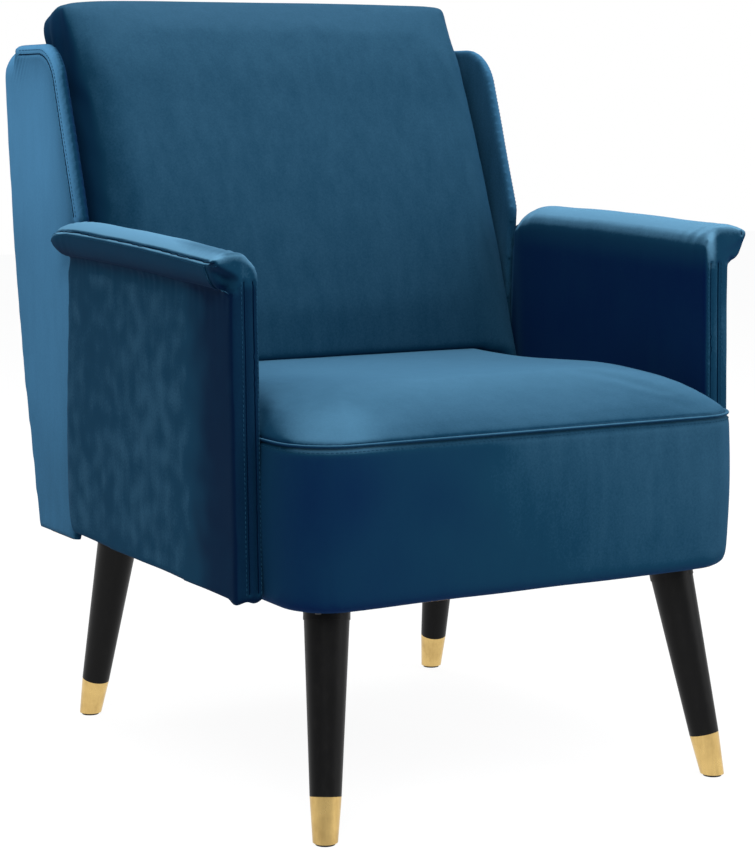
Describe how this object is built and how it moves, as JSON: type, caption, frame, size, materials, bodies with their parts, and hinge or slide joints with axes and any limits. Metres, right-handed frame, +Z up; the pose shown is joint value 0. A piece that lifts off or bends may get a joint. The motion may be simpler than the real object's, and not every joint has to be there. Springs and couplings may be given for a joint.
{
  "type": "upholstered armchair",
  "caption": "Upholstered armchair with a domed seat, rolled-top arms, a winged reclined back with a thick back cushion, and splayed tapered legs with brass ferrules",
  "frame": {"origin": "on the floor, under the middle of the chair's bounding box", "axes": "+X across the chair to the right of someone who faces it, +Y from the front of the seat to the back, +Z up"},
  "size_m": [0.6482, 0.7082, 0.8465],
  "materials": {
    "velvet": "blue short-pile velvet with a brushed nap",
    "foam": "open-cell upholstery foam",
    "webbing": "woven elastic webbing",
    "dust_cloth": "black non-woven cloth",
    "frame_wood": "bare beech and plywood",
    "hardboard": "bare hardboard",
    "leg_black": "satin black lacquer",
    "ferrule_brass": "brushed gold",
    "glide_plastic": "moulded black",
    "steel": "zinc plated"
  },
  "bodies": {
    "root": {"seat_cover": "velvet", "left_arm_cover": "velvet", "right_arm_cover": "velvet", "left_wing_cover": "velvet", "right_wing_cover": "velvet", "outside_back_cover": "velvet", "inside_back_lining": "velvet", "back_cushion_cover": "velvet", "seat_foam": "foam", "seat_border_foam": "foam", "left_arm_foam": "foam", "right_arm_foam": "foam", "left_wing_foam": "foam", "right_wing_foam": "foam", "outside_back_foam": "foam", "back_cushion_foam": "foam", "seat_straps_lengthwise": "webbing", "seat_straps_crosswise": "webbing", "back_straps": "webbing", "dust_cover": "dust_cloth", "front_left_corner_block": "frame_wood", "front_right_corner_block": "frame_wood", "rear_left_corner_block": "frame_wood", "rear_right_corner_block": "frame_wood", "seat_left_rail": "frame_wood", "seat_right_rail": "frame_wood", "seat_front_rail": "frame_wood", "seat_rear_rail": "frame_wood", "left_arm_board": "frame_wood", "right_arm_board": "frame_wood", "left_arm_top_rail": "frame_wood", "right_arm_top_rail": "frame_wood", "left_wing_board": "frame_wood", "right_wing_board": "frame_wood", "back_top_rail": "frame_wood", "back_lower_rail": "frame_wood", "left_back_batten": "frame_wood", "right_back_batten": "frame_wood", "outside_back_board": "hardboard", "front_left_leg": "leg_black", "front_right_leg": "leg_black", "rear_left_leg": "leg_black", "rear_right_leg": "leg_black", "leg_collars": "leg_black", "front_left_ferrule": "ferrule_brass", "front_right_ferrule": "ferrule_brass", "rear_left_ferrule": "ferrule_brass", "rear_right_ferrule": "ferrule_brass", "foot_glides": "glide_plastic", "leg_plates": "steel", "leg_hanger_bolts": "steel", "leg_plate_screws": "steel", "arm_bolts": "steel", "arm_bolt_washers": "steel", "arm_tee_nuts": "steel", "back_bolts": "steel", "back_bolt_nuts": "steel"}
  },
  "joints": []
}
